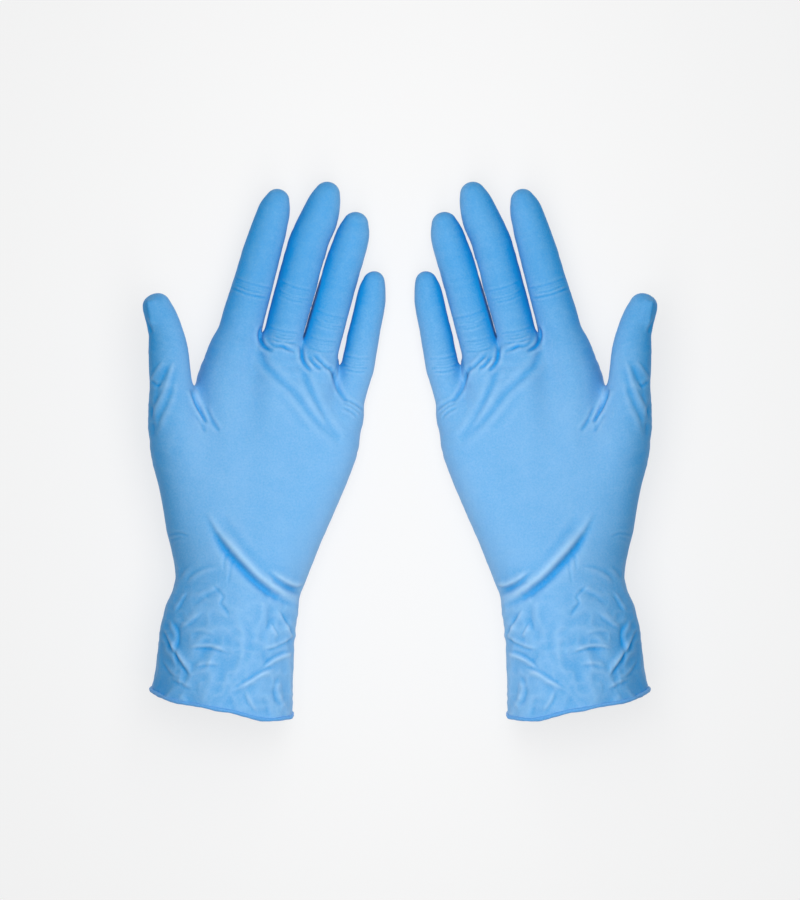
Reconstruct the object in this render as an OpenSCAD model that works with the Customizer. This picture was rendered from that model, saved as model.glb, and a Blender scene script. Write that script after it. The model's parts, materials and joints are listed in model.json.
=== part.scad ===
// A pair of thin dipped gloves, holding the shape of a hand, lying on their backs with the palms up.
// X runs across the pair, Y runs from the cuffs to the fingertips, and Z is up.
// The left glove is modelled, and the right glove is its mirror image in the plane X = 0.
// Each glove is one seamless film. It is divided at the lines where it bends, one node for each
// stretch that keeps its shape between two bends.

/* [Pair] */
// Clear distance between the two little fingers
pair_gap = 12; // [8:1:60]

/* [Film] */
// Wall of the film as a solid
film_t = 0.8; // [0.6:0.1:1.2]
// Diameter of the rolled bead at the hem
bead_d = 2; // [1.4:0.1:2.6]

/* [Cuff] */
// Outside width of the cuff at the hem
hem_w = 64; // [58:1:70]
// Outside height of the cuff at the hem
hem_h = 48; // [42:1:52]
// Outside width of the film at the wrist
wrist_w = 58.6; // [56:0.2:62]
// Outside height of the film at the wrist
wrist_h = 41; // [38:0.5:44]

/* [Bends] */
// How far a finger bends at its root
base_flex = 70; // [40:1:75]
// How far a finger bends at its middle joint
mid_flex = 75; // [40:1:78]
// How far a finger's tip bends, coupled to the middle joint
tip_flex = 45; // [20:1:48]
// How far a finger bends back at its root
base_back = 10; // [0:1:15]
// How far the thumb swings over the palm
swing_flex = 40; // [20:1:45]
// How far the thumb bends at its root
thumb_base_flex = 40; // [20:1:45]
// How far the thumb's tip bends
thumb_tip_flex = 60; // [30:1:65]
// How far the wrist bends towards the palm
wrist_flex = 60; // [30:1:65]
// How far the wrist bends back
wrist_back = 50; // [30:1:60]
// Half of the clear slit at each bend
slit = 0.2; // [0.15:0.05:0.3]

/* [Hidden] */
// Each finger: name, root point, heading from +Y towards +X, lengths of its three stretches,
// and outside radii at the root, the middle joint, the tip joint and the middle of the fingertip.
FINGERS = [
    ["index", [-67.8, 50, 13], 16.5, [24.5, 20.5, 18], [9.8, 9.1, 8.3, 7.5]],
    ["middle", [-47.1, 48, 13], 15.5, [23, 24, 20.5], [8.5, 8.8, 8.8, 7.5]],
    ["ring", [-30.9, 41.4, 12.5], 16, [17.8, 24, 19], [8.3, 8.3, 7.8, 7.2]],
    ["little", [-16.3, 22, 12], 11, [15.6, 19.5, 18.2], [7.7, 7.4, 6.9, 6.3]]
];
// Rise of each stretch of a finger above the level, at rest
RISE = [0, 3, 8];
STRETCHES = ["base", "mid", "tip"];

// Thumb: root joint, tip joint and middle of the tip, with outside radii.
thumb_joints = [[-97.3, 31, 25], [-98.4, 46, 26.5], [-103.2, 64, 27.5]];
thumb_radii = [10, 8.9, 6.7];
// The thumb's pad faces across the palm, and this far up.
pad_tilt = 42;
thumb_axis = [sin(pad_tilt), 0, -cos(pad_tilt)];
// The line that the whole thumb swings about, from the heel of the hand to the crotch of the thumb.
swing_low = [-82, -45, 20];
swing_high = [-86.5, 28, 18];
swing_axis = unit(swing_high - swing_low);
// The swinging part starts this far along that line.
swing_start = 5;

// Balls [x, y, z, radius] that the film of the palm is stretched over, in groups with one hull each.
index_root = [-67.5, 41, 13.4, 12];
middle_root = [-47.5, 40, 13, 11.5];
ring_root = [-32, 33, 12.6, 11];
little_root = [-18, 13, 11.8, 10];
knuckle_index = [-70, 22, 14, 14.2];
knuckle_little = [-25.4, 2, 12.5, 12.7];
ball_of_thumb = [-70, -18, 17, 17.2];
heel = [-36.7, -26, 14, 14.2];
wrist_radial = [-76.8, -50, 19.4, 19.5];
wrist_ulnar = [-56, -53, 18.9, 19];
thumb_low = [-86, -24, 18, 14];
thumb_mid = [-93.5, 4, 21.5, 13.5];
thumb_high = [-97.2, 30, 24.9, 10.1];
PALM_BALLS = [
    [index_root, middle_root, ring_root, knuckle_index, knuckle_little, heel],
    [ring_root, little_root, knuckle_little, heel],
    [knuckle_index, knuckle_little, ball_of_thumb, heel],
    [ball_of_thumb, heel, wrist_radial, wrist_ulnar],
    [ball_of_thumb, knuckle_index, thumb_low, thumb_mid],
    [thumb_low, wrist_radial, ball_of_thumb],
    [thumb_mid, thumb_high]
];

// Wrist joint and cuff
wrist = [-66.9, -58, 20.5];
wrist_heading = 8;
hem = [-74.5, -113.6, hem_h / 2 + bead_d / 2 - film_t / 2];
hem_heading = 10.5;
hem_turns = 60;
bead_sides = 8;

far = 120; // longer than any stretch that a cutter passes through
ball_fn = 28;
ring_fn = 60;
tip_steps = 12;

SIDES = ["left", "right"];
FIXED = ["palm", "cuff", "cuff_bead", "thumb_root", "thumb_mid", "thumb_tip"];

// ---- Vectors and frames ----

function unit(v) = v / norm(v);
function heading(angle, rise = 0) = [sin(angle) * cos(rise), cos(angle) * cos(rise), sin(rise)];
function across(angle) = [cos(angle), -sin(angle), 0];

// Matrix of a frame at point p with the hinge axis as X, and Z on the side that it bends towards.
function hinge_frame(p, axis, along) =
    let (x = unit(axis), z = unit(cross(x, along)), y = cross(z, x))
    [
        [x[0], y[0], z[0], p[0]],
        [x[1], y[1], z[1], p[1]],
        [x[2], y[2], z[2], p[2]],
        [0, 0, 0, 1]
    ];

// Joint points of a finger: its root, middle joint, tip joint and the middle of its tip.
function finger_points(f) =
    let (
        a = f[1],
        b = a + f[3][0] * heading(f[2], RISE[0]),
        c = b + f[3][1] * heading(f[2], RISE[1]),
        d = c + f[3][2] * heading(f[2], RISE[2])
    )
    [a, b, c, d];

// ---- Shared shapes ----

// Everything on the near side (side = 1) or far side (side = -1) of a bend, less a notch of half
// the bend's angle each way, so that two neighbours meet face to face when it is fully bent.
module bend_cutter(p, axis, along, flex, back, side) {
    rise_flex = far * tan(flex / 2);
    rise_back = far * tan(back / 2);
    multmatrix(hinge_frame(p, axis, along))
        rotate([90, 0, 90])
            linear_extrude(height = 2 * far, center = true)
                polygon([
                    [-side * 2 * far, -far],
                    [side * (slit + rise_back), -far],
                    [side * slit, 0],
                    [side * (slit + rise_flex), far],
                    [-side * 2 * far, far]
                ]);
}

// Places a shape that was drawn along +Z so that it starts at a and points at b.
module along_line(a, b) {
    d = unit(b - a);
    spin = 40; // keeps the seam of a turned shape off the bend lines
    translate(a) rotate([0, acos(d[2]), atan2(d[1], d[0])]) rotate([0, 0, spin]) children();
}

// An open sleeve of film from a to b, running on past both ends so that bend cutters can trim it.
module sleeve(a, b, ra, rb) {
    run_on = 3;
    l = norm(b - a);
    slope = (rb - ra) / l;
    r0 = ra - slope * run_on;
    r1 = rb + slope * run_on;
    along_line(a, b)
        rotate_extrude($fn = ring_fn)
            polygon([
                [r0 - film_t, -run_on], [r0, -run_on],
                [r1, l + run_on], [r1 - film_t, l + run_on]
            ]);
}

// A closed fingertip of film from a to the middle of the tip at b.
module thimble(a, b, ra, rb) {
    run_on = 3;
    l = norm(b - a);
    r0 = ra + (ra - rb) / l * run_on;
    dome = [for (i = [0:tip_steps]) 90 * i / tip_steps];
    outer = [for (t = dome) [rb * cos(t), l + rb * sin(t)]];
    inner = [for (t = dome) [(rb - film_t) * cos(90 - t), l + (rb - film_t) * sin(90 - t)]];
    along_line(a, b)
        rotate_extrude($fn = ring_fn)
            polygon(concat([[r0 - film_t, -run_on], [r0, -run_on]], outer, inner));
}

module glove_ball(b, inset) {
    translate([b[0], b[1], b[2]]) sphere(b[3] - inset, $fn = ball_fn);
}

module palm_form(inset) {
    for (group = PALM_BALLS)
        hull() for (b = group) glove_ball(b, inset);
}

// The film from the wrist to the roots of the fingers, thumb included, with its back on the level.
module palm_film() {
    intersection() {
        difference() {
            palm_form(0);
            palm_form(film_t);
        }
        translate([-far * 1.5, -far * 1.5, 0]) cube([far * 3, far * 3, far]);
    }
}

// The space beyond the lower end of the thumb, moved along its swing line by shift.
module above_thumb_start(shift) {
    multmatrix(hinge_frame(swing_low + (swing_start + shift) * swing_axis, across(0), swing_axis))
        translate([-far, 0, -far]) cube([far * 2, far * 2, far * 2]);
}

// What the palm leaves free for the thumb.
module thumb_space() {
    intersection() {
        bend_cutter(swing_low, swing_axis, [-1, 0, 0], swing_flex, 0, -1);
        above_thumb_start(-slit);
    }
}

// What the swinging part of the thumb keeps.
module thumb_share() {
    difference() {
        above_thumb_start(slit);
        bend_cutter(swing_low, swing_axis, [-1, 0, 0], swing_flex, 0, 1);
    }
}

module finger_roots() {
    widen = 4;
    for (f = FINGERS)
        intersection() {
            bend_cutter(f[1], across(f[2]), heading(f[2]), base_flex, base_back, -1);
            multmatrix(hinge_frame(f[1], across(f[2]), heading(f[2])))
                translate([-f[4][0] - widen, -far / 2, -far])
                    cube([2 * (f[4][0] + widen), far, far * 2]);
        }
}

module disc(p, turn, w, h) {
    thin = 0.1;
    translate(p) rotate([90, 0, -turn])
        resize([w, h, thin]) cylinder(h = thin, r = w / 2, center = true, $fn = ring_fn);
}

function on_hem(t) =
    hem + (hem_w / 2 - film_t / 2) * cos(t) * across(hem_heading)
        + [0, 0, (hem_h / 2 - film_t / 2) * sin(t)];

function out_of_hem(t) = unit(cos(t) / hem_w * across(hem_heading) + [0, 0, sin(t) / hem_h]);

// ---- The nodes of one glove ----

module palm() {
    color("cornflowerblue")
        difference() {
            palm_film();
            thumb_space();
            finger_roots();
            bend_cutter(wrist, -across(wrist_heading), -heading(wrist_heading),
                        wrist_flex, wrist_back, -1);
        }
}

module thumb_root() {
    color("cornflowerblue")
        difference() {
            intersection() {
                palm_film();
                thumb_share();
            }
            bend_cutter(thumb_joints[0], thumb_axis, thumb_joints[1] - thumb_joints[0],
                        thumb_base_flex, 0, -1);
        }
}

module thumb_mid() {
    color("cornflowerblue")
        difference() {
            sleeve(thumb_joints[0], thumb_joints[1], thumb_radii[0], thumb_radii[1]);
            bend_cutter(thumb_joints[0], thumb_axis, thumb_joints[1] - thumb_joints[0],
                        thumb_base_flex, 0, 1);
            bend_cutter(thumb_joints[1], thumb_axis, thumb_joints[2] - thumb_joints[0],
                        thumb_tip_flex, 0, -1);
        }
}

module thumb_tip() {
    color("cornflowerblue")
        difference() {
            thimble(thumb_joints[1], thumb_joints[2], thumb_radii[1], thumb_radii[2]);
            bend_cutter(thumb_joints[1], thumb_axis, thumb_joints[2] - thumb_joints[0],
                        thumb_tip_flex, 0, 1);
        }
}

// Stretch number k of finger f: an open sleeve, or a closed thimble for the tip.
module stretch(f, k) {
    p = finger_points(f);
    flex = [base_flex, mid_flex, tip_flex];
    back = [base_back, 0, 0];
    rise = [RISE[0], (RISE[0] + RISE[1]) / 2, (RISE[1] + RISE[2]) / 2];
    color("cornflowerblue")
        difference() {
            if (k < 2) sleeve(p[k], p[k + 1], f[4][k], f[4][k + 1]);
            else thimble(p[k], p[k + 1], f[4][k], f[4][k + 1]);
            bend_cutter(p[k], across(f[2]), heading(f[2], rise[k]), flex[k], back[k], 1);
            if (k < 2)
                bend_cutter(p[k + 1], across(f[2]), heading(f[2], rise[k + 1]),
                            flex[k + 1], back[k + 1], -1);
        }
}

module cuff() {
    color("cornflowerblue")
        difference() {
            hull() {
                disc(wrist + 3 * heading(wrist_heading), wrist_heading, wrist_w, wrist_h);
                disc(hem, hem_heading, hem_w, hem_h);
            }
            hull() {
                disc(wrist + 4 * heading(wrist_heading), wrist_heading,
                     wrist_w - 2 * film_t, wrist_h - 2 * film_t);
                disc(hem - heading(hem_heading), hem_heading,
                     hem_w - 2 * film_t, hem_h - 2 * film_t);
            }
            bend_cutter(wrist, -across(wrist_heading), -heading(wrist_heading),
                        wrist_flex, wrist_back, 1);
        }
}

module cuff_bead() {
    r = bead_d / 2;
    points = [
        for (i = [0:hem_turns - 1], j = [0:bead_sides - 1])
            let (t = 360 * i / hem_turns, s = 360 * j / bead_sides)
            on_hem(t) + r * cos(s) * out_of_hem(t) + r * sin(s) * heading(hem_heading)
    ];
    faces = [
        for (i = [0:hem_turns - 1], j = [0:bead_sides - 1])
            let (i2 = (i + 1) % hem_turns, j2 = (j + 1) % bead_sides)
            [i * bead_sides + j, i * bead_sides + j2, i2 * bead_sides + j2, i2 * bead_sides + j]
    ];
    color("royalblue") polyhedron(points, faces, convexity = 4);
}

// ---- The pair ----

// Puts a shape of the left glove where it belongs on either side.
module on_side(side) {
    mirror([side == "right" ? 1 : 0, 0, 0])
        translate([-pair_gap / 2, 0, 0]) children();
}

for (side = SIDES) {
    on_side(side) palm();
    on_side(side) cuff();
    on_side(side) cuff_bead();
    on_side(side) thumb_root();
    on_side(side) thumb_mid();
    on_side(side) thumb_tip();
    for (f = FINGERS, k = [0:2])
        on_side(side) stretch(f, k);
}
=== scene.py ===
import json
import math

import bmesh
import bpy
import numpy as np
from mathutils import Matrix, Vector
from mathutils.geometry import tessellate_polygon


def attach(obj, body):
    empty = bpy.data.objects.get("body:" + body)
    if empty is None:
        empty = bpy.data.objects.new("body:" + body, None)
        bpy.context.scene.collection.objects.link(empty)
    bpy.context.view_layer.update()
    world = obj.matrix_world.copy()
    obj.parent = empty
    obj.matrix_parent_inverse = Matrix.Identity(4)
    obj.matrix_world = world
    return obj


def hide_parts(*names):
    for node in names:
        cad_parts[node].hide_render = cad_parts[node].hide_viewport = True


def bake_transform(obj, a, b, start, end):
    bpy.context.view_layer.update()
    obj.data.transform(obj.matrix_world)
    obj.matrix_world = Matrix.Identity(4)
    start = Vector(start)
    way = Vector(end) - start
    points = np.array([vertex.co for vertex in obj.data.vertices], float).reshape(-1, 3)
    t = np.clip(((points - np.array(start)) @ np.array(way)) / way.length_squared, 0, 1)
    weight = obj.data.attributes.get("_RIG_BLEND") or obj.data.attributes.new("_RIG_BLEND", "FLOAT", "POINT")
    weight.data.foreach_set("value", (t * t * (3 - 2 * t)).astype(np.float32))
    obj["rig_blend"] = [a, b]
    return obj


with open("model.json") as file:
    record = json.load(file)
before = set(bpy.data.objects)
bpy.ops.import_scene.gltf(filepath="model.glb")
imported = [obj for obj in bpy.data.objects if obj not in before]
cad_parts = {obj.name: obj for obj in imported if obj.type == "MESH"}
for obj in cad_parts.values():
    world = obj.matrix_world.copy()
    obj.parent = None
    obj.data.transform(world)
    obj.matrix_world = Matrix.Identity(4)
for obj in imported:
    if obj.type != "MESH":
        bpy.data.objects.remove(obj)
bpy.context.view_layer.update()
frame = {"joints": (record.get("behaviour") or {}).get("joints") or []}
MM = 0.001

# ---------------------------------------------------------------- camera, straight above the gloves
CAM_HEIGHT = 2.6  # metres above the floor
SCALE_LEVEL = 0.022  # the level that the picture's scale is set for
PICTURE_HEIGHT = 0.405  # metres of that level from the picture's top to its bottom
SENSOR = 24  # millimetres
scene = bpy.context.scene
cam_data = bpy.data.cameras.new("camera")
cam = bpy.data.objects.new("camera", cam_data)
scene.collection.objects.link(cam)
scene.camera = cam
cam.location = (0, 0, CAM_HEIGHT)
cam.rotation_euler = (0, 0, 0)
cam_data.sensor_fit = "VERTICAL"
cam_data.sensor_height = SENSOR
cam_data.lens = SENSOR * (CAM_HEIGHT - SCALE_LEVEL) / PICTURE_HEIGHT
cam_data.clip_start = 0.05
cam_data.clip_end = 20

# ---------------------------------------------------------------- small maths
def unit(v):
    """The vector made one long."""
    v = np.asarray(v, float)
    return v / np.linalg.norm(v)


def heading(deg):
    """The level direction at an angle from straight ahead, clockwise from above."""
    a = math.radians(deg)
    return np.array([math.sin(a), math.cos(a), 0.0])


def across(deg):
    """The level direction to the right of a heading."""
    a = math.radians(deg)
    return np.array([math.cos(a), -math.sin(a), 0.0])


def step(lo, hi, x):
    """0 at lo, 1 at hi, smooth between them."""
    t = np.clip((x - lo) / (hi - lo), 0, 1)
    return t * t * (3 - 2 * t)


def smin(a, b, soft):
    """The lesser of two distances, rounded off where they differ by less than soft."""
    h = np.maximum(soft - np.abs(a - b), 0) / soft
    return np.minimum(a, b) - h * h * soft * 0.25


def spline(stations, n):
    """Catmull-Rom points through the stations, n to a span."""
    s = np.asarray(stations, float)
    s = np.vstack([2 * s[0] - s[1], s, 2 * s[-1] - s[-2]])
    out = []
    for i in range(1, len(s) - 2):
        p0, p1, p2, p3 = s[i - 1:i + 3]
        for t in np.arange(n) / n:
            out.append(0.5 * (2 * p1 + (p2 - p0) * t
                              + (2 * p0 - 5 * p1 + 4 * p2 - p3) * t * t
                              + (3 * p1 - p0 - 3 * p2 + p3) * t ** 3))
    out.append(s[-2])
    return np.array(out)


NOISE_CELLS = 32
NOISE_SHIFT = 500  # keeps every place on the positive side of the noise's lattice


def lattice_noise(p, size, seed):
    """Smooth noise from -1 to 1 with bumps about size millimetres across."""
    shape = (NOISE_CELLS, NOISE_CELLS, NOISE_CELLS)
    g = np.random.default_rng(seed).uniform(-1, 1, shape).astype(np.float32)
    q = p / size + NOISE_SHIFT
    i = np.floor(q).astype(int)
    f = q - i
    f = f * f * f * (f * (f * 6 - 15) + 10)
    i %= NOISE_CELLS
    j = (i + 1) % NOISE_CELLS
    out = 0
    for a, wx in ((i[:, 0], 1 - f[:, 0]), (j[:, 0], f[:, 0])):
        for b, wy in ((i[:, 1], 1 - f[:, 1]), (j[:, 1], f[:, 1])):
            for c, wz in ((i[:, 2], 1 - f[:, 2]), (j[:, 2], f[:, 2])):
                out = out + g[a, b, c] * wx * wy * wz
    return out


# ---------------------------------------------------------------- joints, from the record
JOINTS = {j["name"]: j for j in frame["joints"]}


def hinge(name):
    """Where a joint's hinge is, in millimetres."""
    return np.array(JOINTS[name]["pos_m"]) * 1000


FINGERS = ["index", "middle", "ring", "little"]
# Each finger's heading in plan, degrees.
HEAD = {"index": 16.5, "middle": 15.5, "ring": 16.0, "little": 11.0}
ROOT = {f: hinge(f"left_{f}_base_bend") for f in FINGERS}
MIDJ = {f: hinge(f"left_{f}_mid_bend") for f in FINGERS}
TIPJ = {f: hinge(f"left_{f}_tip_bend") for f in FINGERS}
THUMB_J1, THUMB_J2 = hinge("left_thumb_bend"), hinge("left_thumb_tip_bend")
WRIST = hinge("left_wrist_bend")
SWING = hinge("left_thumb_swing")
# It points from the heel of the hand to the thumb's crotch.
SWING_AXIS = -np.array(JOINTS["left_thumb_swing"]["axis"])

# ---------------------------------------------------------------- the film's outer form, left glove, mm
# Stations down each finger and thumb: x, y, z of the middle, and radius.
TUBES = {
    "index": [(-75.2, 44, 13.2, 10.5), (-73.2, 50, 13, 9.9), (-71.5, 56, 13, 9.7), (-69.7, 63.5, 13, 9.4),
              (-66.6, 73.8, 13.2, 9.15), (-63.8, 84, 13.8, 8.8), (-61.2, 93, 14.2, 8.5),
              (-57.9, 104, 15.6, 7.6), (-56.6, 108.5, 16.3, 6.9), (-55.4, 112.3, 16.9, 5.4)],
    "middle": [(-54.9, 42, 13.2, 10.2), (-53.2, 48, 13, 9.5), (-50.4, 60, 13, 9.2),
               (-47.6, 70, 13.2, 9.2), (-45.5, 78, 13.6, 9.2), (-43.2, 87, 14, 9.0),
               (-40.8, 95, 14.8, 8.8), (-36.6, 104.3, 15.8, 8.5), (-34.3, 111, 16.9, 7.3),
               (-32.9, 115.1, 17.4, 5.8)],
    "ring": [(-38.6, 35.5, 12.8, 9.8), (-37.1, 41.4, 12.5, 9.0), (-34.8, 51, 12.5, 9.0),
             (-32.9, 58.5, 12.8, 9.1), (-30.3, 69, 13.2, 9.0), (-26.7, 80, 13.8, 8.3),
             (-22.8, 92, 15, 7.9), (-21.1, 97.5, 15.9, 7.2), (-20.1, 101.6, 16.4, 5.8)],
    "little": [(-25.8, 15, 12.2, 8.6), (-23.6, 22, 12, 7.4), (-20.5, 33, 12, 7.4), (-19, 38, 12.2, 7.4),
               (-16.8, 50, 12.6, 7.2), (-15.1, 58, 13, 6.9), (-13.4, 66, 13.8, 6.7),
               (-12.6, 71.5, 14.6, 6.1), (-11.8, 75.7, 15.2, 4.9)],
}
THUMB = [(-89.6, -32, 18.5, 16), (-93.4, -15, 19, 15.2), (-97.6, 0, 20.5, 14.6), (-101.3, 14, 23, 12),
         (-102.6, 25, 24.6, 10), (-103.4, 35, 25.6, 9.3), (-104, 44, 26.4, 8.9), (-105, 52, 27, 7.8),
         (-107.2, 59.5, 27.4, 7.1), (-109, 63.9, 27.6, 6.5)]
# Four bars fill the palm, each from the wrist to the root of a finger: stations as above.
BARS = [
    [(-83, -44, 17.6, 17.4), (-81, -15, 16.6, 16.4), (-79.5, 12, 15, 14.8), (-78.3, 30, 14, 13.6),
     (-75, 44, 13.2, 10.6)],
    [(-75, -46, 18, 17.8), (-65, -12, 14.8, 14.6), (-57, 22, 14, 13.8), (-54.9, 42, 13.2, 10.8)],
    [(-68, -48, 18, 17.8), (-53, -14, 14, 13.8), (-42.5, 16, 13.4, 13.2), (-38.6, 35.5, 12.8, 10.4)],
    [(-58.4, -49, 17.6, 17.2), (-44.2, -25, 14.8, 14.6), (-32.2, 0, 13.1, 12.9), (-28.4, 10, 12.4, 10.2),
     (-26, 15, 12.2, 8.4)],
]
# Wrist and cuff: y, left edge x, right edge x, half height. The first rows lie inside the palm.
SLEEVE = [(-18, -94, -50, 9), (-36, -100, -39, 15.6), (-50, -100.6, -41.8, 18.6),
          (-58, -101, -44.2, 19.8), (-64, -102.2, -45.6, 20.4), (-70, -104.6, -45.6, 21),
          (-80, -106.8, -47.2, 22), (-90, -107.8, -47.7, 22.8), (-100, -109.4, -48.6, 23.4),
          (-112, -112.4, -49.2, 24), (-130, -115, -49, 24.4)]
SLEEVE_TOP = -18
SLEEVE_LIFT = 0.15
# The hem lies in a plane: a point on it, and its normal towards the fingers.
HEM = np.array([-80.5, -113.4, 24.4])
HEM_N = unit(heading(10.5) + np.array([0, 0, 0.13]))
# Clefts between neighbouring fingers: the web's point, the heading of the cleft and how far it leans.
# The middle finger leans a little over the ring finger, so no light comes through between them.
WEBS = {
    ("index", "middle"): ((-62.2, 52.7), 14.2, 0.0),
    ("middle", "ring"): ((-45.4, 45.6), 15.9, 0.16),
    ("ring", "little"): ((-29.9, 34.4), 15.1, 0.0),
}
FINGER_Z = 13.0
# Half the width of each cleft, and where it starts and ends along its heading from the web's point.
CLEFT_HALF = {("index", "middle"): 0.6, ("middle", "ring"): 0.5, ("ring", "little"): 0.6}
CLEFT_START = -0.5
CLEFT_END = {("index", "middle"): 46, ("middle", "ring"): 42, ("ring", "little"): 40}
# A leaning cleft stands upright again between these two places along it.
LEAN_FADE = (30, 37)


def web_plane(pair):
    """A point on the cleft at the web, the unit normal towards the little finger, and the heading."""
    (wx, wy), deg, lean = WEBS[pair]
    return np.array([wx, wy, FINGER_Z]), unit(across(deg) - np.array([0, 0, lean])), heading(deg)


def web_side(pair, x, y, z):
    """Distance from the cleft, positive towards the little finger, and distance along it from the web."""
    (wx, wy), deg, lean = WEBS[pair]
    n, t = across(deg), heading(deg)
    along = (x - wx) * t[0] + (y - wy) * t[1]
    lean = lean * (1 - step(*LEAN_FADE, along))
    side = ((x - wx) * n[0] + (y - wy) * n[1] - lean * (z - FINGER_Z)) / np.sqrt(1 + lean * lean)
    return side, along


# The grid on which the form is worked out, as distances in millimetres.
CELL = 0.62
GRID_LO = np.array([-121.0, -122.0, -4.0])
GRID_HI = np.array([-2.0, 122.0, 51.0])
GRID_COUNT = np.ceil((GRID_HI - GRID_LO) / CELL).astype(int)
FAR = 30.0
axes = [GRID_LO[i] + CELL * np.arange(GRID_COUNT[i]) for i in range(3)]


def window(lo, hi):
    """The part of the grid between two corners: its slices and its x, y and z."""
    a = np.clip(np.floor((np.asarray(lo) - GRID_LO) / CELL).astype(int), 0, GRID_COUNT)
    b = np.clip(np.ceil((np.asarray(hi) - GRID_LO) / CELL).astype(int) + 1, 0, GRID_COUNT)
    s = tuple(slice(a[i], b[i]) for i in range(3))
    X, Y, Z = np.meshgrid(axes[0][s[0]], axes[1][s[1]], axes[2][s[2]], indexing="ij")
    return s, X.astype(np.float32), Y.astype(np.float32), Z.astype(np.float32)


def tube_field(stations, squash, pad, n=4):
    """Distance to a tube through the stations, over the part of the grid that it reaches."""
    pts = spline(stations, n)
    r = pts[:, 3].max() + pad
    s, X, Y, Z = window(pts[:, :3].min(0) - r, pts[:, :3].max(0) + r)
    d = np.full(X.shape, 2 * FAR, np.float32)
    for a, b in zip(pts[:-1], pts[1:]):
        ba = b[:3] - a[:3]
        l2 = ba @ ba
        px, py, pz = X - a[0], Y - a[1], Z - a[2]
        t = np.clip((px * ba[0] + py * ba[1] + pz * ba[2]) / l2, 0, 1)
        px, py, pz = px - t * ba[0], py - t * ba[1], (pz - t * ba[2]) / squash
        d = np.minimum(d, np.sqrt(px * px + py * py + pz * pz) - (a[3] + t * (b[3] - a[3])))
    return s, d


palm = np.full(GRID_COUNT, FAR, np.float32)
for bar in BARS:
    s, d = tube_field(bar, squash=1.0, pad=12)
    palm[s] = smin(palm[s], d, soft=8)
s, d = tube_field(THUMB, squash=0.97, pad=10)
palm[s] = smin(palm[s], d, soft=6)

# the wrist and cuff: an oval across each y, closed off inside the palm
s, X, Y, Z = window(GRID_LO, (0, -28, 60))
rows = np.array(SLEEVE)[::-1]
edge_l, edge_r, half_h = (np.interp(Y, rows[:, 0], rows[:, i]).astype(np.float32) for i in (1, 2, 3))
middle_x, half_w = (edge_l + edge_r) / 2, (edge_r - edge_l) / 2
u, v = (X - middle_x) / half_w, (Z - half_h - SLEEVE_LIFT) / half_h
# near enough the distance to the oval, kept from dividing by nothing at its middle
k0 = np.sqrt(u * u + v * v) + 1e-4
k1 = np.sqrt((u / half_w) ** 2 + (v / half_h) ** 2) + 1e-5
sleeve = np.maximum(k0 * (k0 - 1) / k1, (Y - SLEEVE_TOP) * 0.9)
palm[s] = smin(palm[s], sleeve, soft=7)

# the bump that a thumbnail makes under the film: a rounded box
NAIL = np.array([-111.4, 61.8, 28.8])
NAIL_ALONG, NAIL_OUT = unit((-0.2, 0.98, 0.05)), unit((-0.98, -0.2, 0.12))
NAIL_HALF = (4.5, 1.0, 4.4)
NAIL_ROUND = 0.9
s, X, Y, Z = window((-122, 48, 12), (-98, 76, 44))
px, py, pz = X - NAIL[0], Y - NAIL[1], Z - NAIL[2]
nail_axes = (NAIL_ALONG, NAIL_OUT, np.cross(NAIL_ALONG, NAIL_OUT))
q = [np.abs(px * e[0] + py * e[1] + pz * e[2]) - half for e, half in zip(nail_axes, NAIL_HALF)]
outside = np.sqrt(sum(np.maximum(part, 0) ** 2 for part in q))
inside = np.minimum(np.maximum(np.maximum(q[0], q[1]), q[2]), 0)
palm[s] = smin(palm[s], outside + inside - NAIL_ROUND, soft=2.0)

fingers = np.full(GRID_COUNT, FAR, np.float32)
for f in FINGERS:
    s, d = tube_field(TUBES[f], squash=0.95, pad=8)
    fingers[s] = np.minimum(fingers[s], d)
# keep a cleft open where two fingers press together
s, X, Y, Z = window((-80, 20, -4), (0, 124, 34))
for pair in WEBS:
    side, along = web_side(pair, X, Y, Z)
    wide = CLEFT_HALF[pair] - np.abs(side)
    deep = np.minimum(along - CLEFT_START, CLEFT_END[pair] - along)
    cleft = np.maximum(np.minimum(wide, deep), 0) - np.hypot(np.minimum(wide, 0), np.minimum(deep, 0))
    fingers[s] = np.maximum(fingers[s], cleft)
    palm[s] = np.maximum(palm[s], cleft)
field = smin(palm, fingers, soft=4.0)
# the backs of the gloves lie on one level
BACK_LEVEL = 0.25
s, X, Y, Z = window(GRID_LO, GRID_LO + CELL * GRID_COUNT)
low = BACK_LEVEL - Z
field = -smin(-field, -low, soft=3.0)
del X, Y, Z, low, fingers, palm


def sample(vol, p):
    """A grid's values at points between its nodes."""
    q = (p - GRID_LO) / CELL
    i = np.clip(np.floor(q).astype(int), 0, GRID_COUNT - 2)
    f = q - i
    out = 0
    for dx in (0, 1):
        for dy in (0, 1):
            for dz in (0, 1):
                w = ((f[:, 0] if dx else 1 - f[:, 0]) * (f[:, 1] if dy else 1 - f[:, 1])
                     * (f[:, 2] if dz else 1 - f[:, 2]))
                v = vol[i[:, 0] + dx, i[:, 1] + dy, i[:, 2] + dz]
                out = out + (v * w if v.ndim == 1 else v * w[:, None])
    return out


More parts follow.
